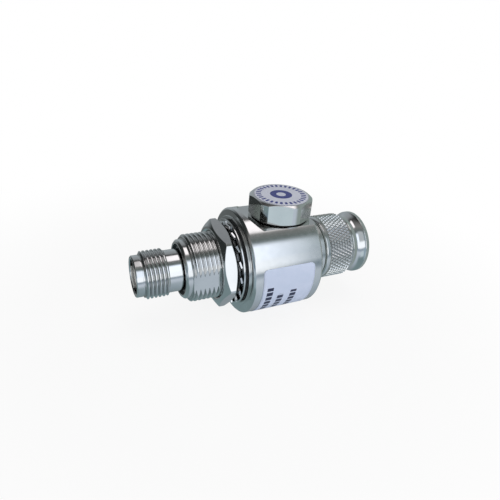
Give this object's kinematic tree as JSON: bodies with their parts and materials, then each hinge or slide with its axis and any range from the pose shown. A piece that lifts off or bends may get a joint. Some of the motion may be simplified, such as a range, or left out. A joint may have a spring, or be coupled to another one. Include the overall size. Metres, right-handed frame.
{
  "type": "coax lightning arrestor",
  "caption": "Panel-mounted coaxial surge arrestor with a round body, hex cap over a gas capsule, threaded jack and nut on a barrel, and a plug with a knurled coupling nut.",
  "frame": {"origin": "on the coaxial line, at the body's panel face", "axes": "+X along the coaxial line from the jack towards the plug, +Z along the capsule cap's axis, -Y towards the flat on the barrel"},
  "size_m": [0.0595, 0.0261, 0.0292],
  "materials": {
    "satin_nickel": "satin nickel plate on turned brass",
    "bright_nickel": "bright nickel plate on turned brass",
    "spring_steel": "plated spring steel",
    "gilt_contact": "gold plate",
    "white_insulator": "waxy white",
    "ceramic": "fired ceramic",
    "black_seal": "matte",
    "red_seal": "matte silicone",
    "label_film": "satin printed film, left bare"
  },
  "bodies": {
    "body": {"housing": "satin_nickel", "jack_shell": "bright_nickel", "jack_insulator": "white_insulator", "jack_contact": "gilt_contact", "line_bead": "white_insulator", "centre_conductor": "gilt_contact", "plug_body": "bright_nickel", "plug_insulator": "white_insulator", "plug_pin": "gilt_contact", "plug_seal": "red_seal", "split_ring": "spring_steel", "panel_gasket": "black_seal", "body_label": "label_film"},
    "coupling": {"coupling_nut": "bright_nickel"},
    "washers": {"flat_washer": "bright_nickel", "lock_washer": "spring_steel"},
    "nut": {"panel_nut": "bright_nickel"},
    "capsule": {"lower_electrode": "bright_nickel", "ceramic_tube": "ceramic", "upper_electrode": "bright_nickel", "contact_spring": "spring_steel"},
    "cap": {"gas_cap": "bright_nickel", "cap_seal": "black_seal", "cap_label": "label_film"}
  },
  "joints": [
    {"name": "coupling_nut_spin", "type": "hinge", "parent": "body", "child": "coupling", "pos_m": [0.028, 0, 0], "axis": [1, 0, 0], "continuous": true},
    {"name": "panel_nut_travel", "type": "slide", "parent": "body", "child": "washers", "axis": [-1, 0, 0], "range_m": [0, 0.00688]},
    {"name": "panel_nut_turn", "type": "hinge", "parent": "washers", "child": "nut", "pos_m": [-0.004, 0, 0], "axis": [-1, 0, 0], "range_deg": [0, 2340]},
    {"name": "capsule_lift", "type": "slide", "parent": "body", "child": "capsule", "axis": [0, 0, 1], "range_m": [0, 0.004]},
    {"name": "cap_turn", "type": "hinge", "parent": "capsule", "child": "cap", "pos_m": [0.0117, 0, 0.0135], "axis": [0, 0, 1], "range_deg": [0, 1440]}
  ],
  "couplings": [
    {"joint": "panel_nut_travel", "follows": "panel_nut_turn", "m_per_rad": 0.00016844},
    {"joint": "capsule_lift", "follows": "cap_turn", "m_per_rad": 0.00015915}
  ]
}
